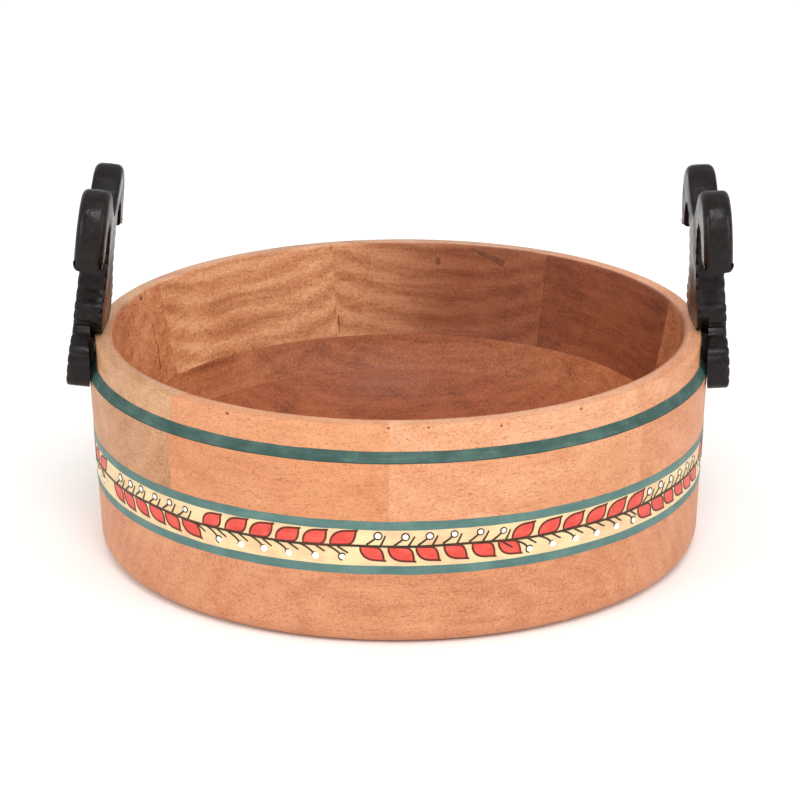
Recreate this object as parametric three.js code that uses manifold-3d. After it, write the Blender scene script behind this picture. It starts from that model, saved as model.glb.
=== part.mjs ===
// Two-handled carved wooden bowl, millimetres, Z up, origin under the centre of the base.
// The bowl is a turned blank glued up from a three-board base, a middle ring of blocks and an
// upper ring of blocks; each horned handle is let over the rim and held by two hidden dowels.
import * as THREE from 'three';
import { mergeVertices } from 'three/addons/utils/BufferGeometryUtils.js';
import Module from 'manifold-3d';

const wasm = await Module();
wasm.setup();

// ---- bowl body ----
const bowlHeight = 89;
const bodyRadius = 125;
const footRadius = 121.9;
const footRound = 8;
const ledgeHeight = 75.3;
const rimBandHeight = 78.6;
const rimBandRadius = 122.2;
const rimInnerRadius = 115.3;
const wallJointRadius = 108;
const floorHeight = 16;
const floorRadius = 76;

// ---- glued layers ----
const glueLine = 0.3;
const baseTop = 36;
const middleTop = 50;
const boardSeams = [-39, 36];
const middleSeams = [48, 110, 168, 230, 290, 348];
const upperSeams = [14, 56, 104, 150, 225, 268, 318];
const turnSteps = 120;

// ---- handles ----
const handleThickness = 11.5;
const handleEdge = 1.1;
const footDrop = 18.7;
const padHalfWidth = 15;
const footClearRadius = 125.4;
const tuckHalfWidth = 9.5;
// how each handle stands: its inner face at the rim, its lean in over the bowl in degrees, how far
// it is toed round at its seat in degrees, and how far it is let down the rim
const handles = [
  { name: 'handle_right', angle: 0, inner: 118.7, lean: 1, toe: 3.1, drop: 2 },
  { name: 'handle_left', angle: 180, inner: 117.9, lean: 6.4, toe: -2.9, drop: 0 },
];

// ---- dowels ----
const dowelDiameter = 5;
const dowelInnerEnd = 116.8;
const dowelOuterEnd = 128.3;
const dowelOffset = 8;
const dowelHeight = 83;
const boreClearance = 0.3;

const colours = {
  wood: 0xd9a06c,
  lacquer: 0x231e1c,
  dowel: 0xcfae7c,
};

function toSolid(geometry) {
  const bare = geometry.clone();
  bare.deleteAttribute('normal');
  bare.deleteAttribute('uv');
  const welded = mergeVertices(bare, 1e-4);
  const triangles = [];
  const corners = welded.index.array;
  for (let i = 0; i < corners.length; i += 3) {
    const [a, b, c] = [corners[i], corners[i + 1], corners[i + 2]];
    if (a !== b && b !== c && c !== a) triangles.push(a, b, c);
  }
  const mesh = new wasm.Mesh({
    numProp: 3,
    vertProperties: new Float32Array(welded.attributes.position.array),
    triVerts: new Uint32Array(triangles),
  });
  return new wasm.Manifold(mesh);
}

function toMesh(name, solid, colour, roughness) {
  const data = solid.getMesh();
  const geometry = new THREE.BufferGeometry();
  const places = new Float32Array(data.numVert * 3);
  for (let i = 0; i < data.numVert; i += 1) {
    for (let k = 0; k < 3; k += 1) {
      places[i * 3 + k] = data.vertProperties[i * data.numProp + k];
    }
  }
  geometry.setAttribute('position', new THREE.BufferAttribute(places, 3));
  geometry.setIndex(new THREE.BufferAttribute(new Uint32Array(data.triVerts), 1));
  geometry.computeVertexNormals();
  const material = new THREE.MeshStandardMaterial({ color: colour, roughness });
  const mesh = new THREE.Mesh(geometry, material);
  mesh.name = name;
  return mesh;
}

function boxSolid(low, high) {
  const size = high.map((value, i) => value - low[i]);
  const box = new THREE.BoxGeometry(size[0], size[1], size[2]);
  box.translate((low[0] + high[0]) / 2, (low[1] + high[1]) / 2, (low[2] + high[2]) / 2);
  return toSolid(box);
}

function turned(profile, steps = turnSteps) {
  const points = profile.map(([radius, height]) => new THREE.Vector2(radius, height));
  const lathe = new THREE.LatheGeometry(points, steps);
  lathe.rotateX(Math.PI / 2);
  return toSolid(lathe);
}

function arcPoints(centre, radius, from, to, count) {
  const points = [];
  for (let i = 0; i <= count; i += 1) {
    const angle = THREE.MathUtils.degToRad(from + ((to - from) * i) / count);
    points.push([centre[0] + radius * Math.cos(angle), centre[1] + radius * Math.sin(angle)]);
  }
  return points;
}

// outside of the bowl from the base edge to the top of the rim, grown by a clearance
function outerProfile(grow) {
  return [
    ...arcPoints([footRadius - footRound, footRound], footRound + grow, -90, 0, 5),
    [bodyRadius - 0.1 + grow, ledgeHeight - 0.6],
    [bodyRadius - 0.4 + grow, ledgeHeight + 0.3 + grow],
    [rimBandRadius + 0.3 + grow, rimBandHeight - 0.3 + grow],
    [rimBandRadius + grow, rimBandHeight + 0.3 + grow],
    [rimBandRadius + grow, bowlHeight - 0.7],
    [rimBandRadius - 0.7 + grow, bowlHeight + grow],
  ];
}

// inside of the bowl from the lip down to the middle of the floor
function innerProfile() {
  return [
    [rimInnerRadius + 0.5, bowlHeight],
    [rimInnerRadius, bowlHeight - 0.6],
    [112.6, 75],
    [110.2, 63],
    [wallJointRadius, 53],
    [105.4, 45],
    [101.2, 37],
    [95.5, 28.5],
    [89.5, 22.3],
    [83, 18.3],
    [floorRadius, floorHeight + 0.4],
    [40, floorHeight],
    [0, floorHeight],
  ];
}

const blank = turned([[0, 0], ...outerProfile(0), ...innerProfile()]);

// a slice of the round between two seams, set back half a glue line from each
function sector(fromDegrees, toDegrees, low, high) {
  const from = THREE.MathUtils.degToRad(fromDegrees);
  const to = THREE.MathUtils.degToRad(toDegrees);
  const middle = (from + to) / 2;
  const setBack = glueLine / 2 / Math.sin((to - from) / 2);
  const apex = new THREE.Vector2(Math.cos(middle), Math.sin(middle)).multiplyScalar(setBack);
  const reach = 160;
  const shape = new THREE.Shape();
  shape.moveTo(apex.x, apex.y);
  for (let i = 0; i <= 4; i += 1) {
    const angle = from + ((to - from) * i) / 4;
    shape.lineTo(apex.x + reach * Math.cos(angle), apex.y + reach * Math.sin(angle));
  }
  shape.closePath();
  const wedge = new THREE.ExtrudeGeometry(shape, { depth: high - low, bevelEnabled: false });
  wedge.translate(0, 0, low);
  return toSolid(wedge);
}

function ringBlocks(seams, low, high) {
  return seams.map((start, i) => {
    const next = seams[(i + 1) % seams.length];
    const end = next > start ? next : next + 360;
    return blank.intersect(sector(start, end, low, high));
  });
}

function baseBoards() {
  const edges = [-160, ...boardSeams, 160];
  return edges.slice(0, -1).map((low, i) => {
    const near = low + (i === 0 ? 0 : glueLine / 2);
    const far = edges[i + 1] - (i === edges.length - 2 ? 0 : glueLine / 2);
    return blank.intersect(boxSolid([-160, near, -1], [160, far, baseTop - glueLine / 2]));
  });
}

// half of the handle outline: across the rim, and up from the rim top
function handleOutline() {
  const half = new THREE.Shape();
  half.moveTo(0, -footDrop);
  half.lineTo(22.2, -footDrop);
  half.quadraticCurveTo(24.9, -footDrop, 26.3, -14.8);
  half.bezierCurveTo(27.2, -9, 26.8, -3.2, 22.4, -0.1);
  half.quadraticCurveTo(17.8, 2.4, 16.4, 4.6);
  half.bezierCurveTo(18.8, 8, 17.9, 12.6, 14.2, 16.4);
  half.bezierCurveTo(12.4, 20, 10.8, 24.6, 10.5, 30.1);
  half.bezierCurveTo(10.6, 38.4, 12.3, 46.4, 17.2, 46.8);
  half.bezierCurveTo(21.4, 46.9, 23.6, 40, 24.6, 34.8);
  half.lineTo(34.2, 32.6);
  half.bezierCurveTo(34.9, 42, 33.8, 53.4, 27.1, 59.1);
  half.bezierCurveTo(23.6, 62, 20, 63.6, 16.2, 61.6);
  half.bezierCurveTo(10.8, 59.6, 5.6, 50.2, 0, 47.8);
  const right = half.getPoints(7);
  const left = right.slice(1, -1).map((p) => new THREE.Vector2(-p.x, p.y)).reverse();
  return new THREE.Shape([...right, ...left]);
}

function radialDowel(angleDegrees, offset, radius, inner, outer) {
  const round = new THREE.CylinderGeometry(radius, radius, outer - inner, 20);
  round.rotateZ(Math.PI / 2);
  round.translate((inner + outer) / 2, offset, dowelHeight);
  round.rotateZ(THREE.MathUtils.degToRad(angleDegrees));
  return toSolid(round);
}

const dowelPlaces = [-dowelOffset, dowelOffset];

function boresAt(angleDegrees) {
  const radius = dowelDiameter / 2 + boreClearance;
  const bores = dowelPlaces.map((offset) =>
    radialDowel(angleDegrees, offset, radius, dowelInnerEnd - 0.4, dowelOuterEnd + 0.4));
  return bores[0].add(bores[1]);
}

// carries a flat outline (across, up) and its depth onto (Y, Z) and X
const standUp = new THREE.Matrix4().makeBasis(
  new THREE.Vector3(0, 1, 0), new THREE.Vector3(0, 0, 1), new THREE.Vector3(1, 0, 0));

// the corner taken off the inner half of the plate so that it tucks in where it meets the rim
function tuckCutter(side, inner) {
  const corner = [
    [tuckHalfWidth, 0.1], [40, 0.1], [40, 10], [17.8, 10], [17, 7], [15.2, 4], [12.6, 1.7],
  ];
  const points = corner.map(([across, up]) => new THREE.Vector2(side * across, up));
  const prism = new THREE.ExtrudeGeometry(new THREE.Shape(points), { depth: 12, bevelEnabled: false });
  prism.translate(0, 0, -7);
  prism.applyMatrix4(standUp);
  prism.translate(inner, 0, bowlHeight);
  return toSolid(prism);
}

// clears the foot of the handle away from the rim band on either side of its seating pad
function footRelief(side) {
  const low = Math.min(side * padHalfWidth, side * 60);
  const high = Math.max(side * padHalfWidth, side * 60);
  const top = bowlHeight + glueLine;
  const drum = turned([[0, 0], [footClearRadius, 0], [footClearRadius, top], [0, top]], 180);
  return drum.intersect(boxSolid([60, low, -1], [160, high, 200]));
}

function handle({ angle, inner, lean, toe, drop }) {
  const plate = new THREE.ExtrudeGeometry(handleOutline(), {
    depth: handleThickness - 2 * handleEdge,
    bevelEnabled: true,
    bevelThickness: handleEdge,
    bevelSize: handleEdge,
    bevelOffset: -handleEdge,
    bevelSegments: 2,
  });
  plate.translate(0, 0, handleEdge);
  plate.applyMatrix4(standUp);
  plate.rotateY(-THREE.MathUtils.degToRad(lean));
  plate.translate(-handleThickness / 2, 0, 0);
  plate.rotateZ(THREE.MathUtils.degToRad(toe));
  plate.translate(inner + handleThickness / 2, 0, bowlHeight - drop);

  // the outside of the bowl, one glue line larger, is what the handle is cut to sit over
  const top = bowlHeight + glueLine;
  const seat = turned([[0, -1], [footRadius, -1], ...outerProfile(glueLine), [0, top]], 180);
  let solid = toSolid(plate).subtract(seat);
  for (const side of [-1, 1]) {
    solid = solid.subtract(footRelief(side)).subtract(tuckCutter(side, inner));
  }
  return solid.rotate([0, 0, angle]).subtract(boresAt(angle));
}

const part = new THREE.Group();
part.name = 'carved_wooden_bowl';

function addPiece(name, solid, colour, roughness) {
  part.add(toMesh(name, solid, colour, roughness));
}

const boardNames = ['base_board_front', 'base_board_centre', 'base_board_back'];
baseBoards().forEach((solid, i) => addPiece(boardNames[i], solid, colours.wood, 0.5));

const halfLine = glueLine / 2;
ringBlocks(middleSeams, baseTop + halfLine, middleTop - halfLine).forEach((solid, i) => {
  addPiece(`middle_ring_block_${i + 1}`, solid, colours.wood, 0.5);
});

const drilling = boresAt(0).add(boresAt(180));
ringBlocks(upperSeams, middleTop + halfLine, bowlHeight + 5).forEach((solid, i) => {
  addPiece(`upper_ring_block_${i + 1}`, solid.subtract(drilling), colours.wood, 0.5);
});

for (const placed of handles) {
  addPiece(placed.name, handle(placed), colours.lacquer, 0.25);
  dowelPlaces.forEach((offset, i) => {
    const dowel = radialDowel(placed.angle, offset, dowelDiameter / 2, dowelInnerEnd, dowelOuterEnd);
    addPiece(`${placed.name}_dowel_${i + 1}`, dowel, colours.dowel, 0.7);
  });
}

export default part;
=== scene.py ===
import math
import random

import bmesh
import bpy
from mathutils import Matrix, Vector, noise


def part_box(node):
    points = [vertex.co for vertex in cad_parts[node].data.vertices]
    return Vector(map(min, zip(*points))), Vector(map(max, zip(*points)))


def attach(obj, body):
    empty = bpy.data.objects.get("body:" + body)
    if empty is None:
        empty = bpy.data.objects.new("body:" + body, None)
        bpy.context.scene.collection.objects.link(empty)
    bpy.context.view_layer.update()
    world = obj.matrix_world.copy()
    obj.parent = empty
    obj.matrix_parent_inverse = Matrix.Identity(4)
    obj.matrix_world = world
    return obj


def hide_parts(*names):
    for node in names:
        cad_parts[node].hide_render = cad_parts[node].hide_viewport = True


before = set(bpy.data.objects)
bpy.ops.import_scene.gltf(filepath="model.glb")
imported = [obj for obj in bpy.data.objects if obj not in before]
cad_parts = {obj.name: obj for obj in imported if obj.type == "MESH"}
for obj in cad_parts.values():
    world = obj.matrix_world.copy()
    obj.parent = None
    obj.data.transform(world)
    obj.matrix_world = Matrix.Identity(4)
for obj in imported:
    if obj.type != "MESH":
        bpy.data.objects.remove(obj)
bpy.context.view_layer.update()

mm = 0.001
scene = bpy.context.scene
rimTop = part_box("upper_ring_block_1")[1].z / mm
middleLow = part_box("middle_ring_block_1")[0].z / mm
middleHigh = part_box("middle_ring_block_1")[1].z / mm
jointLow = round(middleLow - 0.15, 3)
jointHigh = round(middleHigh + 0.15, 3)


def linearColour(hexCode):
    channels = [int(hexCode[i:i + 2], 16) / 255 for i in (1, 3, 5)]
    return (*[c / 12.92 if c <= 0.04045 else ((c + 0.055) / 1.055) ** 2.4 for c in channels], 1.0)


def addNode(tree, kind, inputs=None, stops=None, **settings):
    node = tree.nodes.new(kind)
    for setting, value in settings.items():
        setattr(node, setting, value)
    for socket, value in (inputs or {}).items():
        if isinstance(value, bpy.types.NodeSocket):
            tree.links.new(value, node.inputs[socket])
        else:
            node.inputs[socket].default_value = value
    if stops:
        ramp = node.color_ramp
        ends = (ramp.elements[0], ramp.elements[1])
        for element, (place, colour) in zip(ends, (stops[0], stops[-1])):
            element.position = place
            element.color = colour
        for place, colour in stops[1:-1]:
            ramp.elements.new(place).color = colour
    return node


def mathNode(tree, operation, *values):
    return addNode(tree, "ShaderNodeMath", dict(enumerate(values)), operation=operation).outputs[0]


def threeTones(tree, tone, places, hexCodes):
    stops = [(place, linearColour(hexCode)) for place, hexCode in zip(places, hexCodes)]
    return addNode(tree, "ShaderNodeValToRGB", {"Fac": tone}, stops=stops).outputs["Color"]


def newMaterial(name):
    material = bpy.data.materials.new(name)
    material.use_nodes = True
    material.node_tree.nodes.clear()
    return material, material.node_tree


def finishMaterial(tree, inputs):
    shader = addNode(tree, "ShaderNodeBsdfPrincipled", inputs).outputs["BSDF"]
    addNode(tree, "ShaderNodeOutputMaterial", {"Surface": shader})


def revolve(bm, section, steps, closed=False):
    corners = [bm.verts.new((radius * mm, 0, height * mm)) for radius, height in section]
    following = corners[1:] + (corners[:1] if closed else [])
    edges = [bm.edges.new(pair) for pair in zip(corners, following)]
    bmesh.ops.spin(bm, geom=corners + edges, cent=(0, 0, 0), axis=(0, 0, 1), angle=math.tau,
                   steps=steps, use_merge=True, use_duplicate=False)


def sliceOff(bm, place, normal):
    cut = bmesh.ops.bisect_plane(bm, geom=[*bm.verts, *bm.edges, *bm.faces], dist=1e-7,
                                 plane_co=place, plane_no=normal, clear_outer=True)
    rim = [part for part in cut["geom_cut"] if isinstance(part, bmesh.types.BMEdge)]
    bmesh.ops.holes_fill(bm, edges=rim)


def finishPiece(name, bm, materials, nodes=(), crease=35):
    bmesh.ops.remove_doubles(bm, verts=bm.verts, dist=1e-7)
    bmesh.ops.recalc_face_normals(bm, faces=bm.faces)
    for face in bm.faces:
        face.smooth = True
    for edge in bm.edges:
        edge.smooth = len(edge.link_faces) == 2 and edge.calc_face_angle(0) < math.radians(crease)
    mesh = bpy.data.meshes.new(name)
    bm.to_mesh(mesh)
    bm.free()
    for material in materials:
        mesh.materials.append(material)
    piece = bpy.data.objects.new(name, mesh)
    scene.collection.objects.link(piece)
    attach(piece, "root")
    if nodes:
        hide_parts(*nodes)
    return piece


# The bowl is mango wood, glued up in blocks, turned and oiled. The eye gets soft orange growth
# rings along each block, short dark pores, fine turning lines, and a redder, deeper inside.
woodLook = {
    "waveUnit": 0.314,     # scale of the wave texture at which one wave fills one unit
    "streakAcross": 2.2,   # mm
    "streakAlong": 48.0,   # mm
    "poreAcross": 0.55,    # mm, twice the real pore so that it shows
    "poreAlong": 2.0,      # mm
    "blotch": 26.0,        # mm
    "turningGap": 1.1,     # mm between tool lines
    "insideRadius": 116.6,
    "insideFloor": 12.0,
    # from bandFrom up the wood is moved this far up its ramp: painted light on the rim band and the rim top
    "bandFrom": 78.2, "bandPaintedLight": 0.22,
    "tones": (0.12, 0.5, 0.88),
}


def turnedWood(name, look):
    material, tree = newMaterial(name)
    objectPlace = addNode(tree, "ShaderNodeTexCoord").outputs["Object"]
    # millimetres, with the grain of the block along local Y
    local = addNode(tree, "ShaderNodeMapping", {
        "Vector": objectPlace, "Scale": (1 / mm,) * 3,
        "Rotation": (math.radians(look.get("slope", 0)), 0, -math.radians(look["middle"])),
        "Location": (look["shift"] * 31.0, look["shift"] * 57.0, look["shift"] * 13.0),
    }).outputs["Vector"]
    drift = addNode(tree, "ShaderNodeTexNoise", {
        "Vector": local, "Scale": 1 / 45.0, "Detail": 2.0, "Roughness": 0.5}).outputs["Color"]
    drifted = addNode(tree, "ShaderNodeVectorMath", {0: drift, 1: (0.5, 0.5, 0.5)}, operation="SUBTRACT")
    wander = addNode(tree, "ShaderNodeVectorMath", {
        0: drifted.outputs["Vector"], 1: (look["wander"],) * 3, 2: local,
    }, operation="MULTIPLY_ADD").outputs["Vector"]
    heart = addNode(tree, "ShaderNodeVectorMath", {
        0: wander, 1: look["heart"]}, operation="ADD").outputs["Vector"]
    rings = addNode(tree, "ShaderNodeTexWave", {
        "Vector": heart, "Scale": woodLook["waveUnit"] / look["ringGap"], "Distortion": 1.4,
        "Detail": 2.0, "Detail Scale": 0.6, "Detail Roughness": 0.6,
    }, wave_type="RINGS", rings_direction="Y", wave_profile="SIN").outputs["Fac"]
    across, along = 1 / woodLook["streakAcross"], 1 / woodLook["streakAlong"]
    streakPlace = addNode(tree, "ShaderNodeVectorMath", {
        0: wander, 1: (across, along, across)}, operation="MULTIPLY").outputs["Vector"]
    streaks = addNode(tree, "ShaderNodeTexNoise", {
        "Vector": streakPlace, "Scale": 1.0, "Detail": 5.0, "Roughness": 0.6}).outputs["Fac"]
    blotches = addNode(tree, "ShaderNodeTexNoise", {
        "Vector": local, "Scale": 1 / woodLook["blotch"], "Detail": 4.0, "Roughness": 0.6,
        "Distortion": 0.6}).outputs["Fac"]
    across, along = 1 / woodLook["poreAcross"], 1 / woodLook["poreAlong"]
    porePlace = addNode(tree, "ShaderNodeVectorMath", {
        0: wander, 1: (across, along, across)}, operation="MULTIPLY").outputs["Vector"]
    poreNoise = addNode(tree, "ShaderNodeTexNoise", {
        "Vector": porePlace, "Scale": 1.0, "Detail": 1.0, "Roughness": 0.4}).outputs["Fac"]
    pores = addNode(tree, "ShaderNodeMapRange", {
        "Value": poreNoise, "From Min": 0.56, "From Max": 0.72},
        interpolation_type="SMOOTHSTEP").outputs["Result"]
    speckle = addNode(tree, "ShaderNodeTexNoise", {
        "Vector": local, "Scale": 1.1, "Detail": 3.0, "Roughness": 0.7}).outputs["Fac"]

    # rings, streaks, blotches and speckle add up to the place on the colour ramp, about its middle
    tone = 0.5
    for layer, value in (("rings", rings), ("streaks", streaks), ("blotches", blotches),
                         ("speckle", speckle)):
        part = mathNode(tree, "MULTIPLY_ADD", value, look[layer], -look[layer] / 2)
        tone = mathNode(tree, "ADD", tone, part)
    split = addNode(tree, "ShaderNodeSeparateXYZ", {"Vector": objectPlace})
    # the rim band above the ledge and the rim top are lifted paler on the ramp: painted light for the light
    # these faces catch
    band = addNode(tree, "ShaderNodeMapRange", {
        "Value": split.outputs["Z"], "From Min": woodLook["bandFrom"] * mm,
        "From Max": (woodLook["bandFrom"] + 1) * mm, "To Max": woodLook["bandPaintedLight"]}).outputs["Result"]
    outside = threeTones(tree, mathNode(tree, "ADD", tone, band), woodLook["tones"], look["outside"])
    inside = threeTones(tree, tone, woodLook["tones"], look["inside"])
    # between these X places the inside is multiplied towards a darker tint: partly the block's own darker
    # wood, partly painted shade on the wall turned from the light
    start, end, tint = look["insideShadeFade"]
    insideShadeFading = addNode(tree, "ShaderNodeMapRange", {
        "Value": split.outputs["X"], "From Min": start * mm, "From Max": end * mm},
        interpolation_type="SMOOTHSTEP").outputs["Result"]
    inside = addNode(tree, "ShaderNodeMix", {"Factor": insideShadeFading, "A": inside, "B": linearColour(tint)},
                     data_type="RGBA", blend_type="MULTIPLY").outputs["Result"]

    # the inside is everything within the rim and above the underside
    flat = addNode(tree, "ShaderNodeCombineXYZ", {"X": split.outputs["X"], "Y": split.outputs["Y"]})
    radius = addNode(tree, "ShaderNodeVectorMath", {0: flat.outputs["Vector"]},
                     operation="LENGTH").outputs["Value"]
    within = addNode(tree, "ShaderNodeMapRange", {
        "Value": radius, "From Min": (woodLook["insideRadius"] + 0.5) * mm,
        "From Max": (woodLook["insideRadius"] - 0.9) * mm}).outputs["Result"]
    above = addNode(tree, "ShaderNodeMapRange", {
        "Value": split.outputs["Z"], "From Min": (woodLook["insideFloor"] - 1) * mm,
        "From Max": woodLook["insideFloor"] * mm}).outputs["Result"]
    insideMask = mathNode(tree, "MULTIPLY", within, above)
    body = addNode(tree, "ShaderNodeMix", {"Factor": insideMask, "A": outside, "B": inside},
                   data_type="RGBA").outputs["Result"]
    poreShade = mathNode(tree, "MULTIPLY", pores, look["pores"])
    finish = addNode(tree, "ShaderNodeMix", {
        "Factor": poreShade, "A": body, "B": linearColour(look["pore"])},
        data_type="RGBA").outputs["Result"]

    # tool lines run round the bowl, so they only know the radius and the height
    turning = addNode(tree, "ShaderNodeCombineXYZ", {
        "X": radius, "Z": split.outputs["Z"]}).outputs["Vector"]
    toolLines = addNode(tree, "ShaderNodeTexNoise", {
        "Vector": turning, "Scale": 1 / (woodLook["turningGap"] * mm), "Detail": 3.0}).outputs["Fac"]
    heightSum = mathNode(tree, "MULTIPLY_ADD", pores, -0.6, toolLines)
    grainHeight = mathNode(tree, "MULTIPLY_ADD", streaks, 0.8, heightSum)
    relief = addNode(tree, "ShaderNodeBump", {
        "Height": grainHeight, "Strength": 0.35, "Distance": 0.15 * mm}).outputs["Normal"]
    roughness = addNode(tree, "ShaderNodeMapRange", {
        "Value": streaks, "From Min": 0.3, "From Max": 0.7, "To Min": look["gloss"][0],
        "To Max": look["gloss"][1]}).outputs["Result"]
    finishMaterial(tree, {"Base Color": finish, "Roughness": roughness, "Normal": relief,
                          "IOR": 1.45, "Specular IOR Level": 0.35})
    return material


# One block's wood: the middle of the block in degrees, where in the noise it is cut from, how far its
# grain wanders and where the heart of the tree lies in millimetres, and how strong each layer is.
plainLook = {
    "middle": 0, "shift": 0, "wander": 9.0, "heart": (-70, 0, -20), "ringGap": 7.0,
    "rings": 0.1, "streaks": 0.75, "blotches": 0.8, "speckle": 1.3, "pores": 0.4,
    "outside": ("#B06D48", "#C7855E", "#D79D78"), "inside": ("#8A4A2A", "#C07A50", "#DC9E70"),
    "pore": "#7A4228", "gloss": (0.42, 0.56),
    # a white tint leaves the inside as it is; a darker one paints shade across it towards +X
    "insideShadeFade": (-200.0, 200.0, "#FFFFFF"),    # mm along X between which the inside takes on this tint
}

bowlBody = {
    "skin": 0.15,            # the paint stands on this much less wood, so it stays within the size
    "round": 1.5,            # degrees for each facet
    "spacing": 4.0,          # mm between profile points
    "seam": 0.02,            # mm left open at a glued seam
    "footRadius": 121.9, "footRound": 8.0,
    "outside": [(124.9, 74.7), (124.6, 75.6), (122.5, 78.3), (122.2, 78.9), (122.2, 88.3), (122.0, 88.75),
                (121.5, 89.0)],
    "inside": [(40.0, 16.0), (76.0, 16.4), (83.0, 18.3), (89.5, 22.3), (95.5, 28.5), (101.2, 37.0),
               (105.4, 45.0), (108.0, 53.0), (110.2, 63.0), (112.6, 75.0), (115.2, 88.3), (115.4, 88.8),
               (115.9, 89.0)],
}


def outsideProfile():
    size, centre = bowlBody["footRound"], bowlBody["footRadius"] - bowlBody["footRound"]
    foot = [(centre + size * math.sin(math.radians(turn)), size - size * math.cos(math.radians(turn)))
            for turn in range(0, 91, 10)]
    return [(radius - bowlBody["skin"], height) for radius, height in foot + bowlBody["outside"]]


def radiusAt(profile, height):
    for (lowRadius, low), (highRadius, high) in zip(profile, profile[1:]):
        if low <= height <= high and high > low:
            return lowRadius + (highRadius - lowRadius) * (height - low) / (high - low)
    return profile[-1][0] if height > profile[-1][1] else profile[0][0]


def wallPoints(profile, low, high, spacing=bowlBody["spacing"]):
    heights = [low] + [height for _, height in profile if low + 0.01 < height < high - 0.01] + [high]
    points = []
    for start, end in zip(heights, heights[1:]):
        parts = max(1, math.ceil((end - start) / spacing))
        points += [start + (end - start) * i / parts for i in range(parts)]
    return [(radiusAt(profile, height), height) for height in points + [high]]


outside = outsideProfile()
inside = bowlBody["inside"]


def spinSection(bm, section, start, end, step=bowlBody["round"]):
    corners = [bm.verts.new((radius * mm, 0, height * mm)) for radius, height in section]
    face = bm.faces.new(corners)
    bmesh.ops.rotate(bm, cent=(0, 0, 0), matrix=Matrix.Rotation(math.radians(start), 3, "Z"), verts=corners)
    bmesh.ops.spin(bm, geom=[face, *face.edges, *corners], cent=(0, 0, 0), axis=(0, 0, 1),
                   angle=math.radians(end - start), steps=math.ceil((end - start) / step),
                   use_merge=False, use_duplicate=False)


def ringBlock(name, start, end, low, high, material):
    bm = bmesh.new()
    wall = wallPoints(outside, low, high)
    bore = wallPoints(inside, low, high)[::-1]
    gap = math.degrees(bowlBody["seam"] / 2 / radiusAt(outside, 60))
    spinSection(bm, wall + bore, start + gap, end - gap)
    return finishPiece(name, bm, [material], [name])


upperSeams = [14, 56, 104, 150, 225, 268, 318, 374]
upperLooks = [
    {"inside": ("#5E2C16", "#7E4124", "#935232"), "streaks": 0.9},
    # block 2's inside darkens towards +X: partly its own wood, partly painted shade
    {"inside": ("#A9683F", "#CD8D61", "#E6AC80"), "outside": ("#A0694A", "#B98362", "#CB9A7A"),
     "insideShadeFade": (-46.0, 36.0, "#AD8F81"), "rings": 0.3, "streaks": 1.0},
    {"inside": ("#A9683F", "#CD8D61", "#E6AC80"), "outside": ("#A0694A", "#B98362", "#CB9A7A"),
     "rings": 0.3, "streaks": 1.0},
    {"outside": ("#9A6846", "#B5845F", "#C79A74")},
    {"outside": ("#B67049", "#C6845B", "#D39469")},
    {"outside": ("#BB7850", "#CC8D65", "#D9A17C")},
    {"inside": ("#74391F", "#A2623C", "#BC7C55")},
]
middleSeams = [48, 110, 168, 230, 290, 348, 408]
boardSeams = [-39, 36]
seam = bowlBody["seam"]

for index, (start, end) in enumerate(zip(upperSeams, upperSeams[1:])):
    look = {**plainLook, "middle": (start + end) / 2, "shift": index + 1, **upperLooks[index]}
    wood = turnedWood(f"oiled_mango_wood_upper_{index + 1}", look)
    ringBlock(f"upper_ring_block_{index + 1}", start, end, jointHigh + seam / 2, rimTop, wood)
print("upper ring")
for index, (start, end) in enumerate(zip(middleSeams, middleSeams[1:])):
    look = {**plainLook, "middle": (start + end) / 2, "shift": index + 11,
            "inside": ("#7A3E22", "#A6603A", "#BE7A50")}
    wood = turnedWood(f"oiled_mango_wood_middle_{index + 1}", look)
    ringBlock(f"middle_ring_block_{index + 1}", start, end, jointLow, jointHigh, wood)
print("middle ring")


def baseBoard(name, front, back, material):
    bm = bmesh.new()
    top, inner = jointLow - seam, inside[0][1]
    dish = wallPoints(inside, inner, top)[::-1]
    # a point halfway out under the base and over the floor keeps their faces short
    section = [(0, 0), (60, 0)] + wallPoints(outside, 0, top) + dish + [(20, inner), (0, inner)]
    revolve(bm, section, round(360 / bowlBody["round"]))
    bmesh.ops.remove_doubles(bm, verts=bm.verts, dist=1e-6)
    bmesh.ops.recalc_face_normals(bm, faces=bm.faces)
    for place, side in ((front, -1), (back, 1)):
        if place is not None:
            sliceOff(bm, (0, (place - side * seam / 2) * mm, 0), (0, side, 0))
    return finishPiece(name, bm, [material], [name])


boards = [("base_board_front", None, boardSeams[0]), ("base_board_centre", boardSeams[0], boardSeams[1]),
          ("base_board_back", boardSeams[1], None)]
for index, (name, front, back) in enumerate(boards):
    look = {**plainLook, "middle": 90, "shift": index + 21, "inside": ("#74391D", "#A05733", "#B56B43"),
            "outside": ("#A96843", "#C3825D", "#D0956F")}
    baseBoard(name, front, back, turnedWood(f"oiled_mango_wood_base_{index + 1}", look))
print("base boards")

# Water-based craft paint, brushed on by hand over the wood: low sheen, slightly uneven colour,
# edges that waver by a fraction of a millimetre.
paint = {
    "cream": (33.0, 48.4), "creamThick": 0.07,
    "lowerStripe": (29.8, 33.4), "upperStripe": (47.9, 51.5), "stripeThick": 0.14,
    "ledge": (75.0, 78.7), "ledgeThick": 0.12, "ledgeLine": (74.7, 75.3),
    "waver": 0.22,
}


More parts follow.
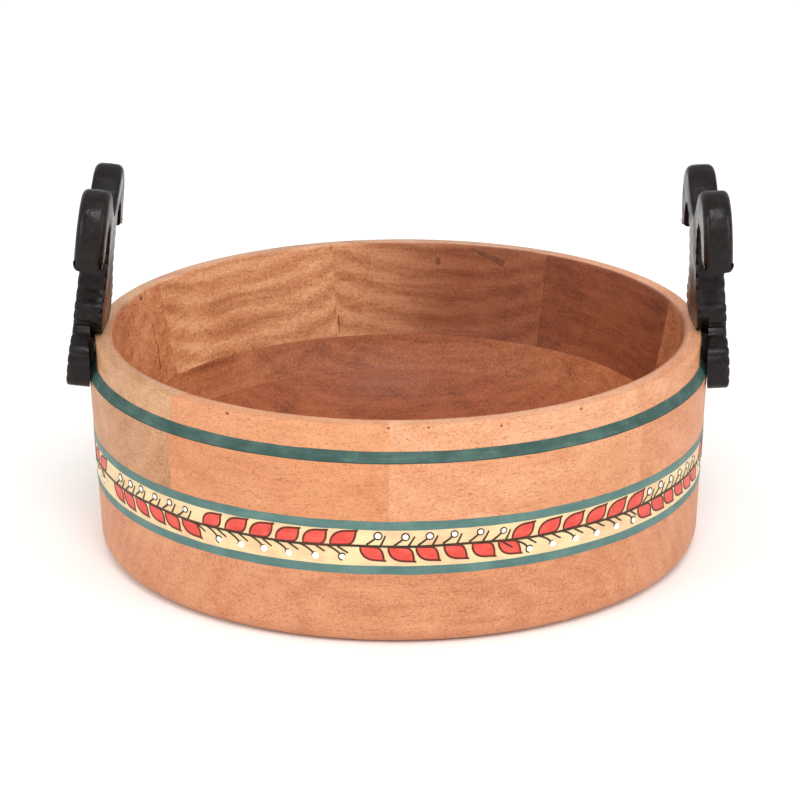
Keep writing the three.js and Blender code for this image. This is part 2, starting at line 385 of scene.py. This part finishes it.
def brushedPaint(name, deep, plain, pale, gloss, patch=9.0, streakHeight=0.7):
    material, tree = newMaterial(name)
    objectPlace = addNode(tree, "ShaderNodeTexCoord").outputs["Object"]
    # brush marks are long round the bowl and short up it, both in millimetres
    brushPlace = addNode(tree, "ShaderNodeMapping", {
        "Vector": objectPlace, "Scale": (0.09 / mm, 0.09 / mm, 1 / (streakHeight * mm))}).outputs["Vector"]
    brushMarks = addNode(tree, "ShaderNodeTexNoise", {
        "Vector": brushPlace, "Scale": 1.0, "Detail": 3.0}).outputs["Fac"]
    patches = addNode(tree, "ShaderNodeTexNoise", {
        "Vector": objectPlace, "Scale": 1 / (patch * mm), "Detail": 3.0, "Roughness": 0.6}).outputs["Fac"]
    tone = mathNode(tree, "MULTIPLY_ADD", brushMarks, 0.3, mathNode(tree, "MULTIPLY", patches, 0.7))
    colour = threeTones(tree, tone, (0.36, 0.5, 0.64), (deep, plain, pale))
    relief = addNode(tree, "ShaderNodeBump", {
        "Height": brushMarks, "Strength": 0.3, "Distance": 0.06 * mm}).outputs["Normal"]
    roughness = addNode(tree, "ShaderNodeMapRange", {
        "Value": brushMarks, "From Min": 0.3, "From Max": 0.7, "To Min": gloss[0],
        "To Max": gloss[1]}).outputs["Result"]
    finishMaterial(tree, {"Base Color": colour, "Roughness": roughness, "Normal": relief,
                          "IOR": 1.48, "Specular IOR Level": 0.35})
    return material


tealPaint = brushedPaint("acrylic_teal_brushed", "#466661", "#4F716B", "#5C7C75", (0.4, 0.55), 14.0)
ledgePaint = brushedPaint("acrylic_deep_teal_brushed", "#29463E", "#36514C", "#48655B", (0.6, 0.75), 10.0)
creamPaint = brushedPaint("acrylic_cream_washed", "#D4AE86", "#DAC294", "#DECC9B", (0.45, 0.6), 12.0)
leafPaint = brushedPaint("acrylic_coral_red", "#C63D31", "#D0493D", "#D95A4A", (0.35, 0.5), 6.0)
maroonLine = brushedPaint("acrylic_maroon_outline", "#4A1209", "#5A180E", "#6E2415", (0.4, 0.55), 4.0)
brownLine = brushedPaint("acrylic_dark_brown_line", "#2C1808", "#3A2210", "#4C3018", (0.4, 0.55), 4.0)
whitePaint = brushedPaint("acrylic_white_dots", "#EFE9DC", "#F6F2EA", "#FBF9F4", (0.4, 0.5), 3.0)


def paintBand(name, low, high, thick, waver, seed, material):
    bm = bmesh.new()
    wall = wallPoints(outside, low, high, 1.2)
    back = [(radius - 0.02, height) for radius, height in wall]
    front = [(radius + thick, height) for radius, height in wall[1:-1]]
    lips = [(wall[0][0] + thick * 0.55, low + 0.03), (wall[-1][0] + thick * 0.55, high - 0.03)]
    section = back + [lips[1]] + front[::-1] + [lips[0]]
    revolve(bm, section, round(360 / bowlBody["round"]) * 2, closed=True)
    # each edge wavers by itself, slowly round the bowl and a little faster on top of that
    for vert in bm.verts:
        angle, height = math.atan2(vert.co.y, vert.co.x), vert.co.z / mm
        radius = math.hypot(vert.co.x, vert.co.y) / mm
        share = (height - low) / (high - low)
        around = Vector((math.cos(angle), math.sin(angle), 0))
        shifts = [noise.noise(around * 9 + Vector((0, 0, seed + side * 5)))
                  + 0.4 * noise.noise(around * 40 + Vector((0, 0, seed + side * 5))) for side in (0, 1)]
        moved = height + waver * (shifts[0] * (1 - share) + shifts[1] * share)
        radius += radiusAt(outside, moved) - radiusAt(outside, height)
        vert.co = (radius * mm * math.cos(angle), radius * mm * math.sin(angle), moved * mm)
    return finishPiece(name, bm, [material])


paintBand("cream_band", *paint["cream"], paint["creamThick"], 0.1, 3, creamPaint)
paintBand("lower_stripe", *paint["lowerStripe"], paint["stripeThick"], paint["waver"], 13, tealPaint)
paintBand("upper_stripe", *paint["upperStripe"], paint["stripeThick"], paint["waver"], 23, tealPaint)
paintBand("ledge_stripe", *paint["ledge"], paint["ledgeThick"], paint["waver"] * 0.8, 33, ledgePaint)
# a thin, very dark teal band along the lower edge of the ledge: painted shade under the ledge's edge
ledgeEdgeShade = brushedPaint("deep_teal_painted_shade_at_ledge_edge", "#152B26", "#1D3530", "#27423B", (0.6, 0.75), 8.0)
paintBand("ledge_edge_shade_line", *paint["ledgeLine"], paint["ledgeThick"] + 0.02, 0.08, 43, ledgeEdgeShade)
print("painted bands")

# Drawn flat in millimetres, across to the right and up from the stem, then wrapped on the bowl.
vine = {
    "start": 263.0,             # degrees where the first turn begins, leaves hanging below
    # degrees that each turn takes, and from one of its leaves to the next
    "turns": [(27, 4.9), (28, 5), (27.5, 4.3), (29.5, 5), (30.5, 5.1), *[(31, 5.2)] * 4, (35, 5.25),
              (28, 4.6), (30.5, 5.05)],
    "leaves": 6,
    "stemHeight": 41.2, "stemWave": 0.45,
    "stemWidth": 0.92, "lineWidth": 0.76, "tickWidth": 0.78,
    "leafLength": 9.2, "leafHeight": 6.0, "leafThick": 0.16,
    "lineThick": 0.22, "berryThick": 0.28,
    "berry": 1.1, "berryRing": 1.4, "ringWidth": 0.55,
    # a leaf in shares of its length and height: the outer edge, the full back and the foot
    "leafEdges": [([(0, 0.02), (-0.03, 0.78), (0.33, 1.08), (0.68, 0.92), (1.0, 1.0)], 10),
                  ([(1.0, 1.0), (0.94, 0.78), (1.03, 0.36), (0.86, 0.08), (0.7, 0.05)], 7),
                  ([(0.7, 0.05), (0.35, 0.0), (0, 0.02)], 4)],
}
wrapRadius = radiusAt(outside, vine["stemHeight"])
degreeLength = math.tau * wrapRadius / 360
chance = random.Random(7)


def stemAt(across):
    turn = across / wrapRadius
    return vine["stemWave"] * (math.sin(turn * 6 + 0.4) * 0.7 + math.sin(turn * 17 + 2.0) * 0.4)


def curvePoints(corners, count):
    points = []
    for i in range(count + 1):
        t = i / count
        layer = [Vector(corner) for corner in corners]
        while len(layer) > 1:
            layer = [a.lerp(b, t) for a, b in zip(layer, layer[1:])]
        points.append(layer[0])
    return points


def raiseUp(bm, verts, thick):
    faces = list({face for vert in verts for face in vert.link_faces})
    grown = bmesh.ops.extrude_face_region(bm, geom=faces)["geom"]
    for part in grown:
        if isinstance(part, bmesh.types.BMVert):
            part.co.z = thick


def brushStroke(bm, path, widths, thick, closed=False):
    count = len(path) - 1
    grid = bmesh.ops.create_grid(bm, x_segments=count, y_segments=1, size=0.5)["verts"]
    for vert in grid:
        index = round((vert.co.x + 0.5) * count)
        before, after = path[max(index - 1, 0)], path[min(index + 1, count)]
        if closed and index in (0, count):
            before, after = path[count - 1], path[1]
        along = (after - before).normalized()
        side = 0.5 if vert.co.y > 0 else -0.5
        reach = widths[0] + (widths[1] - widths[0]) * index / count
        place = path[index] + Vector((-along.y, along.x)) * side * reach
        vert.co = (place.x, place.y, 0)
    raiseUp(bm, grid, thick)


def paintPatch(bm, outline, thick):
    disc = bmesh.ops.create_circle(bm, cap_ends=True, cap_tris=True, segments=len(outline),
                                   radius=1)["verts"]
    middle = sum(outline, Vector((0, 0))) / len(outline)
    for vert in disc:
        if vert.co.length < 0.5:
            place = middle
        else:
            turn = math.atan2(vert.co.x, vert.co.y) / math.tau
            place = outline[round(turn * len(outline)) % len(outline)]
        vert.co = (place.x, place.y, 0)
    raiseUp(bm, disc, thick)


def wrapOnBowl(bm):
    for vert in bm.verts:
        across, up, out = vert.co
        height = vine["stemHeight"] + up
        angle = math.radians(vine["start"]) + across / wrapRadius
        radius = radiusAt(outside, height) + out - 0.01
        vert.co = (radius * mm * math.cos(angle), radius * mm * math.sin(angle), height * mm)


# base on the stem at the left, round belly outwards, tip at the outer right, full back
def leafOutline(base, side, long, tall, lean):
    flat = [point for corners, count in vine["leafEdges"] for point in curvePoints(corners, count)[:-1]]
    return [base + Vector(((point.x + lean * (point.y - 0.5)) * long, side * point.y * tall))
            for point in flat]


def sprig(base, side, index):
    # a stalk with a berry, and a short tick, on the other side of the stem from the leaf
    slip = Vector((chance.uniform(-0.4, 0.4), chance.uniform(-0.25, 0.25)))
    if side > 0:
        dot = base + Vector((7.0 - 1.0 * index, 4.2)) + slip
        root = dot + Vector((-4.4, -3.6))
        bends = [root + Vector((1.5, 1.0)), dot + Vector((-1.6, -1.6)), dot + Vector((-0.9, -0.9))]
        tickSteps = [(5.4, -0.2)]
        rise = Vector((2.1 + slip.x, 3.9))
    else:
        dot = base + Vector((7.2 - 0.6 * index, -4.5)) + slip
        root = dot + Vector((-6.3, 4.4))
        bends = [root + Vector((2.4, -0.8)), root + Vector((4.6, -2.2)), dot + Vector((-1.0, 1.1))]
        tickSteps = [(-4.6, -0.1)] + [(4.4, -0.2)] * (index == vine["leaves"] - 1)
        rise = Vector((4.1 + slip.x, -2.6))
    ticks = [root + Vector(step) for step in tickSteps]
    halfway = rise * 0.5 + Vector((0.15, 0.1 * side))
    return dot, curvePoints([root, *bends], 7), [[tick, tick + halfway, tick + rise] for tick in ticks]


leaves, outlines, stems, berries, rings = [bmesh.new() for _ in range(5)]
stemLength = math.tau * wrapRadius
stemPath = [Vector((stemLength * i / 300, stemAt(stemLength * i / 300))) for i in range(301)]
brushStroke(stems, stemPath, (vine["stemWidth"],) * 2, vine["lineThick"])
dotRound = [Vector((math.sin(math.tau * i / 12), math.cos(math.tau * i / 12))) for i in range(12)]
turnStart = 0
for turn, (degrees, leafGap) in enumerate(vine["turns"]):
    side = 1 if turn % 2 else -1
    pitch = leafGap * degreeLength
    for index in range(vine["leaves"]):
        across = turnStart + pitch * index
        base = Vector((across, stemAt(across + 4) + 0.15 * side))
        long = vine["leafLength"] * chance.uniform(0.92, 1.08) * (pitch / 11.3 * 0.35 + 0.65)
        tall = vine["leafHeight"] * chance.uniform(0.95, 1.05)
        shape = leafOutline(base, side, long, tall, chance.uniform(-0.02, 0.08))
        paintPatch(leaves, shape, vine["leafThick"])
        tip = shape[10] + Vector((0.7, 0.12 * side))
        around = [tip] + shape[10:] + shape[:11]
        brushStroke(outlines, around, (vine["lineWidth"],) * 2, vine["lineThick"] - 0.01)
        base.y -= 0.15 * side
        dot, stalk, ticks = sprig(base, -side, index)
        brushStroke(stems, stalk, (vine["lineWidth"], vine["lineWidth"] * 0.9), vine["lineThick"] - 0.02)
        for tick in ticks:
            brushStroke(stems, tick, (vine["tickWidth"], vine["tickWidth"] * 0.75), vine["lineThick"] - 0.03)
        # the berries above the stem are ringed, those below only capped beside the stalk
        size = 1.08 - 0.05 * index if side < 0 else 1.0
        ringed = side < 0 or index in (0, vine["leaves"] - 1)
        whiteSize = vine["berry"] * (1.0 if ringed else 1.2) * size
        berry = [dot + point * whiteSize * chance.uniform(0.93, 1.07) for point in dotRound]
        paintPatch(berries, berry, vine["berryThick"])
        reach = (12 if side < 0 else 8) if ringed else 3
        first = 9 if reach == 3 else 6
        arc = [dot + dotRound[(first + i) % 12] * vine["berryRing"] * size for i in range(reach + 1)]
        brushStroke(rings, arc, (vine["ringWidth"], vine["ringWidth"] * 0.8), vine["berryThick"] - 0.03)
    turnStart += degrees * degreeLength
for bm, name, material in ((leaves, "vine_leaves", leafPaint), (outlines, "vine_leaf_outlines", maroonLine),
                           (stems, "vine_stem_and_ticks", brownLine), (berries, "vine_berries", whitePaint),
                           (rings, "vine_berry_rings", brownLine)):
    wrapOnBowl(bm)
    finishPiece(name, bm, [material])
print("vine")

# Marks that time and the tree left: a fine crack that has opened along the grain of one block with a small
# chip, a dark streak, and small dark knots. Each is a thin raised skin, dull and brown-black: the knots and
# the streak are stained wood, the dark of the crack and the chip is painted shade for their open gaps.
marks = {
    "thick": 0.03,
    # where each starts and ends, in degrees and mm up, and how far it strays to the sides in mm
    "crack": ((155, 76), (156, 56), 1.3), "crackWidth": (0.35, 0.6),
    "streak": ((74, 88), (66, 82.5), 0.3), "streakWidth": (1.2, 3.0),
    "chip": ((103.5, 59), (103.5, 51.5), 0.1), "chipWidth": (0.7, 0.3),
    # degrees, height and radius in mm, on the outside of the rim and on the inside of the wall
    "rimKnots": [(238, 88, 0.9), (304, 88, 0.8), (268, 88, 0.6), (275, 88, 0.5), (288, 86.5, 0.5)],
    "wallKnots": [(81, 81.5, 1.5), (39, 86, 1.8), (34, 83, 1.4), (158, 87.5, 1.2)],
}


def layOnWall(bm, profile, outwards):
    # the flat drawing is in degrees times degreeLength across, and millimetres up
    for vert in bm.verts:
        angle, height = math.radians(vert.co.x / degreeLength), vert.co.y
        radius = radiusAt(profile, height) + outwards * (vert.co.z - 0.01)
        vert.co = (radius * mm * math.cos(angle), radius * mm * math.sin(angle), height * mm)


def strayingPath(start, end, stray):
    # a few bends at random, then a finer tremble between them
    ends = [Vector((angle * degreeLength, height)) for angle, height in (start, end)]
    bends = [ends[0].lerp(ends[1], i / 7) + Vector((chance.uniform(-stray, stray), 0)) for i in range(8)]
    path = []
    for near, far in zip(bends, bends[1:]):
        path += [near.lerp(far, i / 6) + Vector((chance.uniform(-0.12, 0.12), 0)) for i in range(6)]
    return path + [bends[-1]]


def knot(bm, angle, height, size):
    middle = Vector((angle * degreeLength, height))
    paintPatch(bm, [middle + point * size * chance.uniform(0.7, 1.2) for point in dotRound], marks["thick"])


crackBm, knotBm, rimBm = [bmesh.new() for _ in range(3)]
brushStroke(crackBm, strayingPath(*marks["crack"]), marks["crackWidth"], marks["thick"])
brushStroke(crackBm, strayingPath(*marks["chip"]), marks["chipWidth"], marks["thick"])
brushStroke(knotBm, strayingPath(*marks["streak"]), marks["streakWidth"], marks["thick"])
for place in marks["wallKnots"]:
    knot(knotBm, *place)
for place in marks["rimKnots"]:
    knot(rimBm, *place)
# the crack and the chip are drawn dark brown: painted shade for their open gaps
crackShade = brushedPaint("painted_shade_in_open_crack", "#4A2414", "#5E3120", "#7A452C", (0.6, 0.8), 3.0)
knotStain = brushedPaint("dark_resin_stained_wood", "#5A2E1A", "#73422A", "#8A563A", (0.5, 0.7), 2.5)
for bm, name, profile, outwards, material in (
        (crackBm, "inside_crack", inside, -1, crackShade), (knotBm, "inside_knots", inside, -1, knotStain),
        (rimBm, "rim_knots", outside, 1, knotStain)):
    layOnWall(bm, profile, outwards)
    finishPiece(name, bm, [material])
print("wood marks")

# Carved hardwood under black lacquer: brown-black, glossy where it is thick, with the tool marks
# still showing through it and grey-white glints along the rounded edges.
lacquerLook = {
    "tones": ("#0D0908", "#150F0E", "#241A17"),
    "toolMark": 2.4, "fine": 0.7, "patch": 11.0,    # mm
}


def blackLacquer(name):
    material, tree = newMaterial(name)
    objectPlace = addNode(tree, "ShaderNodeTexCoord").outputs["Object"]
    toolMarks = addNode(tree, "ShaderNodeTexNoise", {
        "Vector": objectPlace, "Scale": 1 / (lacquerLook["toolMark"] * mm), "Detail": 3.0,
        "Roughness": 0.55}).outputs["Fac"]
    grit = addNode(tree, "ShaderNodeTexNoise", {
        "Vector": objectPlace, "Scale": 1 / (lacquerLook["fine"] * mm), "Detail": 2.0}).outputs["Fac"]
    patches = addNode(tree, "ShaderNodeTexNoise", {
        "Vector": objectPlace, "Scale": 1 / (lacquerLook["patch"] * mm), "Detail": 2.0}).outputs["Fac"]
    colour = threeTones(tree, toolMarks, (0.3, 0.55, 0.75), lacquerLook["tones"])
    both = mathNode(tree, "MULTIPLY_ADD", grit, 0.25, toolMarks)
    relief = addNode(tree, "ShaderNodeBump", {
        "Height": both, "Strength": 0.55, "Distance": 0.3 * mm}).outputs["Normal"]
    roughness = addNode(tree, "ShaderNodeMapRange", {
        "Value": patches, "From Min": 0.35, "From Max": 0.65, "To Min": 0.2,
        "To Max": 0.42}).outputs["Result"]
    finishMaterial(tree, {"Base Color": colour, "Roughness": roughness, "Normal": relief,
                          "IOR": 1.5, "Specular IOR Level": 0.22})
    return material


handle = {
    "thickness": 11.5, "spacing": 0.7,
    "beadPitch": 4.9,                # mm from one carved notch to the next along the edges
    "notchIn": 3.2, "notchDeep": 1.6, "notchBack": 0.35,
    "roundnessTurns": [90, 68, 48, 30, 14, 0],    # degrees round each edge, from its face outwards
    "roundEdge": 1.2, "crown": 0.35, "slightCrown": 0.1,    # mm, a rounder edge is also crowned
    "uneven": 0.28, "rough": 0.06,   # mm, by the carver's knife
    "miterLimit": 0.85,
    "clearance": 0.3, "padHalfWidth": 15.0, "footClear": 125.4,
    # the corner that is taken off where the plate meets the rim, across and up from the rim top
    "tuck": [(9.5, 0.1), (40, 0.1), (40, 10), (17.8, 10), (17, 7), (15.2, 4), (12.6, 1.7)],
    # its inner face at the rim, its lean in over the bowl and its toe in degrees, how far it is
    # let down the rim, and the side that it stands on
    "handle_right": {"inner": 118.7, "lean": 1.0, "toe": 3.1, "drop": 2.0, "turn": 0},
    "handle_left": {"inner": 117.9, "lean": 6.4, "toe": -2.9, "drop": 0.0, "turn": 180},
    # half of the outline from the middle of the foot up to the notch between the horns, across and
    # up from the rim top, then the roundness of its edges and how strongly they are notched
    "outline": [
        ([(0, -18.7), (22.2, -18.7)], 1.2, 0),
        ([(22.2, -18.7), (24.9, -18.7), (26.3, -14.8)], 1.2, 0.2),
        ([(26.3, -14.8), (27.2, -9), (26.8, -3.2), (22.4, -0.1)], 0.9, 1),
        ([(22.4, -0.1), (17.8, 2.4), (16.4, 4.6)], 0.8, 1),
        ([(16.4, 4.6), (18.8, 8), (17.9, 12.6), (14.2, 16.4)], 0.8, 1),
        ([(14.2, 16.4), (12.4, 20), (10.8, 24.6), (10.5, 30.1)], 0.8, 1),
        ([(10.5, 30.1), (10.6, 38.4), (12.3, 46.4), (17.2, 46.8)], 0.9, 0.8),
        ([(17.2, 46.8), (21.4, 46.9), (23.6, 40), (24.6, 34.8)], 0.9, 0.15),
        ([(24.6, 34.8), (34.2, 32.6)], 1.6, 0),
        ([(34.2, 32.6), (34.9, 42), (33.8, 53.4), (27.1, 59.1)], 2.8, 0),
        ([(27.1, 59.1), (23.6, 62), (20, 63.6), (16.2, 61.6)], 2.6, 0),
        ([(16.2, 61.6), (10.8, 59.6), (5.6, 50.2), (0, 47.8)], 1.6, 0),
    ],
}


def handleEdge():
    # points round the whole outline, each with its edge rounding and notching
    half = []
    for corners, rounding, notched in handle["outline"]:
        rough = curvePoints(corners, 12)
        length = sum((b - a).length for a, b in zip(rough, rough[1:]))
        points = curvePoints(corners, max(3, round(length / handle["spacing"])))
        half += [[point, rounding, notched] for point in points[:-1]]
    half.append([Vector(handle["outline"][-1][0][-1]), half[-1][1], 0])
    travelled = 0
    for before, entry in zip([half[0]] + half, half):
        travelled += (entry[0] - before[0]).length
        entry.append(travelled)
    left = [[Vector((-point.x, point.y)), rounding, notched, distance]
            for point, rounding, notched, distance in reversed(half[1:-1])]
    ring = half + left
    count, blur = len(ring), 5
    edge = []
    for i, (point, _, _, distance) in enumerate(ring):
        near = [ring[(i + k) % count] for k in range(-blur, blur + 1)]
        into = (point - ring[i - 2][0]).normalized()
        outOf = (ring[(i + 2) % count][0] - point).normalized()
        along = into + outOf
        # inwards from the edge, longer at a corner so that an inset keeps its width there
        inward = Vector((-along.y, along.x)).normalized() / max(along.length / 2, handle["miterLimit"])
        edge.append((point, sum(entry[1] for entry in near) / len(near),
                     sum(entry[2] for entry in near) / len(near), distance, inward))
    return edge


def cutterFrom(name, bm):
    bmesh.ops.recalc_face_normals(bm, faces=bm.faces)
    mesh = bpy.data.meshes.new(name)
    bm.to_mesh(mesh)
    bm.free()
    cutter = bpy.data.objects.new(name, mesh)
    scene.collection.objects.link(cutter)
    return cutter


def bowlCutter():
    # the outside of the bowl, a little larger, that the handle is let over
    grow = handle["clearance"] + bowlBody["skin"]
    bm = bmesh.new()
    top = rimTop + handle["clearance"]
    wall = [(radius + grow, height) for radius, height in outside if 40 < height < rimTop - 1]
    section = [(0, 40), (wall[0][0], 40)] + wall + [(wall[-1][0], top), (0, top)]
    revolve(bm, section, 360)
    bmesh.ops.remove_doubles(bm, verts=bm.verts, dist=1e-6)
    return cutterFrom("bowl_cutter", bm)


def reliefCutter(side):
    # frees the foot from the rim on one side of its seating pad
    bm = bmesh.new()
    top = rimTop + handle["clearance"]
    radius, tall = handle["footClear"] * mm, 60 * mm
    bmesh.ops.create_cone(bm, cap_ends=True, segments=360, radius1=radius, radius2=radius, depth=tall)
    bmesh.ops.translate(bm, vec=(0, 0, top * mm - tall / 2), verts=bm.verts)
    sliceOff(bm, (0, side * handle["padHalfWidth"] * mm, 0), (0, -side, 0))
    sliceOff(bm, (60 * mm, 0, 0), (-1, 0, 0))
    return cutterFrom("relief_cutter", bm)


def tuckCutter(side, inner):
    # takes the corner off the inner half of the plate where it meets the rim
    bm = bmesh.new()
    verts = [bm.verts.new(((inner - 7) * mm, side * across * mm, (rimTop + up) * mm))
             for across, up in handle["tuck"]]
    face = bm.faces.new(verts)
    grown = bmesh.ops.extrude_face_region(bm, geom=[face])["geom"]
    moved = [part for part in grown if isinstance(part, bmesh.types.BMVert)]
    bmesh.ops.translate(bm, vec=(12 * mm, 0, 0), verts=moved)
    return cutterFrom("tuck_cutter", bm)


def carvedHandle(name, cutters, material):
    stance = handle[name]
    bm = bmesh.new()
    edge = handleEdge()
    thick = handle["thickness"]
    seed = stance["turn"]
    # each layer is a loop round the outline: its share through the plate, how far round the edge it
    # has turned, and how much more it is set in
    turns = handle["roundnessTurns"]
    layers = [(0, 90, 0.6)] + [(0, turn, 0) for turn in turns]
    layers += [(0.34, 0, 0), (0.5, 0, 0), (0.66, 0, 0)]
    layers += [(1, turn, 0) for turn in reversed(turns)] + [(1, 90, 0.6)]
    loop = None
    for through, turn, more in layers:
        places = []
        for point, rounding, notched, distance, inward in edge:
            step = distance / handle["beadPitch"] % 1
            notch = notched * (1 - math.sqrt(max(0, 1 - (2 * step - 1) ** 2)))
            across = rounding + handle["notchIn"] * notch
            down = rounding + handle["notchDeep"] * notch
            inset = across * (1 - math.cos(math.radians(turn))) + more + handle["notchBack"] * notch
            depth = down * (1 - math.sin(math.radians(turn)))
            depth = depth if through == 0 else thick - depth if through == 1 else thick * through
            crown = handle["crown"] if rounding > handle["roundEdge"] else handle["slightCrown"]
            inset += crown * (2 * depth / thick - 1) ** 2
            knife = Vector((depth / 6, point.x / 5, point.y / 5 + seed))
            inset += handle["uneven"] * (0.5 + 0.5 * noise.noise(knife))
            inset += handle["rough"] * (1 + noise.noise(knife * 4))
            flat = point + inward * inset
            places.append(Vector((depth, flat.x, flat.y)) * mm)
        if loop is None:
            verts = [bm.verts.new(place) for place in places]
            loop = [bm.edges.new(pair) for pair in zip(verts, verts[1:] + verts[:1])]
            bmesh.ops.triangle_fill(bm, edges=loop, use_beauty=True)
        else:
            grown = bmesh.ops.extrude_edge_only(bm, edges=loop)["geom"]
            newVerts = []
            fresh = {part for part in grown if isinstance(part, bmesh.types.BMVert)}
            for old in verts:
                newVerts.append(next(stay.other_vert(old) for stay in old.link_edges
                                     if stay.other_vert(old) in fresh))
            for vert, place in zip(newVerts, places):
                vert.co = place
            verts = newVerts
            loop = [part for part in grown if isinstance(part, bmesh.types.BMEdge)
                    and part.verts[0] in fresh and part.verts[1] in fresh]
    bmesh.ops.triangle_fill(bm, edges=loop, use_beauty=True)
    bmesh.ops.transform(bm, matrix=Matrix.Rotation(-math.radians(stance["lean"]), 4, "Y"), verts=bm.verts)
    bmesh.ops.translate(bm, vec=(-thick / 2 * mm, 0, 0), verts=bm.verts)
    seat = ((stance["inner"] + thick / 2) * mm, 0, (rimTop - stance["drop"]) * mm)
    bmesh.ops.transform(bm, matrix=Matrix.Translation(seat)
                        @ Matrix.Rotation(math.radians(stance["toe"]), 4, "Z"), verts=bm.verts)
    rough = cutterFrom(name + "_rough", bm)
    for cutter in cutters:
        cut = rough.modifiers.new("cut", "BOOLEAN")
        cut.operation = "DIFFERENCE"
        cut.solver = "MANIFOLD"
        cut.object = cutter
    bpy.context.view_layer.update()
    result = rough.evaluated_get(bpy.context.evaluated_depsgraph_get()).to_mesh()
    bm = bmesh.new()
    bm.from_mesh(result)
    bpy.data.objects.remove(rough)
    bmesh.ops.rotate(bm, cent=(0, 0, 0), matrix=Matrix.Rotation(math.radians(stance["turn"]), 3, "Z"),
                     verts=bm.verts)
    return finishPiece(name, bm, [material], [name], crease=40)


lacquer = blackLacquer("black_lacquer_on_carved_hardwood")
# The dowels are dry pine, pale and dull, and out of sight.
dowelLook = {**plainLook, "outside": ("#B89468", "#CFB083", "#DCC29A"), "shift": 31, "pores": 0.2,
             "gloss": (0.6, 0.75)}
dowelWood = turnedWood("dry_pine_dowel", dowelLook)
for name in ("handle_right", "handle_left"):
    for dowel in (1, 2):
        for slot in bpy.data.objects[f"{name}_dowel_{dowel}"].material_slots:
            slot.material = dowelWood
shared = [bowlCutter()] + [reliefCutter(side) for side in (-1, 1)]
for name in ("handle_right", "handle_left"):
    own = [tuckCutter(side, handle[name]["inner"]) for side in (-1, 1)]
    carvedHandle(name, shared + own, lacquer)
    for cutter in own:
        bpy.data.objects.remove(cutter)
for cutter in shared:
    bpy.data.objects.remove(cutter)
print("handles")

# the place in metres, the yaw, tilt and roll in degrees, and the lens in millimetres
view = {"place": (-0.00508, -1.3088, 0.5104), "turn": (-0.249, 70.88, -0.306), "lens": 153.3}
camera = bpy.data.cameras.new("camera")
camera.lens = view["lens"]
camera.sensor_width = 36
camera.clip_end = 20
cameraObject = bpy.data.objects.new("camera", camera)
scene.collection.objects.link(cameraObject)
yaw, tilt, roll = [math.radians(turn) for turn in view["turn"]]
cameraObject.matrix_world = (Matrix.Translation(view["place"]) @ Matrix.Rotation(yaw, 4, "Z")
                             @ Matrix.Rotation(tilt, 4, "X") @ Matrix.Rotation(roll, 4, "Z"))
scene.camera = cameraObject

studio = {
    "key": {"place": (0.15, -1.3, 1.65), "size": 0.8, "power": 15},
    "left_box": {"place": (-1.5, -1.1, 0.75), "size": 0.7, "power": 9},
    "right_box": {"place": (1.5, -1.1, 0.75), "size": 0.7, "power": 9},
}
for name, lamp in studio.items():
    light = bpy.data.lights.new(name, "AREA")
    light.size = lamp["size"]
    light.energy = lamp["power"]
    lightObject = bpy.data.objects.new(name, light)
    scene.collection.objects.link(lightObject)
    lightObject.location = lamp["place"]
    aim = Vector((0, 0, 0.05)) - Vector(lamp["place"])
    lightObject.rotation_euler = aim.to_track_quat("-Z", "Y").to_euler()

world = bpy.data.worlds.new("studio")
world.use_nodes = True
world.node_tree.nodes["Background"].inputs["Color"].default_value = (1, 1, 1, 1)
world.node_tree.nodes["Background"].inputs["Strength"].default_value = 0.9
scene.world = world
scene.view_settings.view_transform = "Standard"

bm = bmesh.new()
bmesh.ops.create_grid(bm, x_segments=8, y_segments=8, size=3.0)
# a sheet of matt white paper: it takes a soft shadow and shows no shine
floorMesh = bpy.data.meshes.new("floor")
bm.to_mesh(floorMesh)
bm.free()
floorMaterial, floorTree = newMaterial("matt_white_paper")
finishMaterial(floorTree, {"Base Color": linearColour("#FBFAF8"), "Roughness": 0.9})
floorMesh.materials.append(floorMaterial)
floor = bpy.data.objects.new("floor", floorMesh)
scene.collection.objects.link(floor)
print("studio")
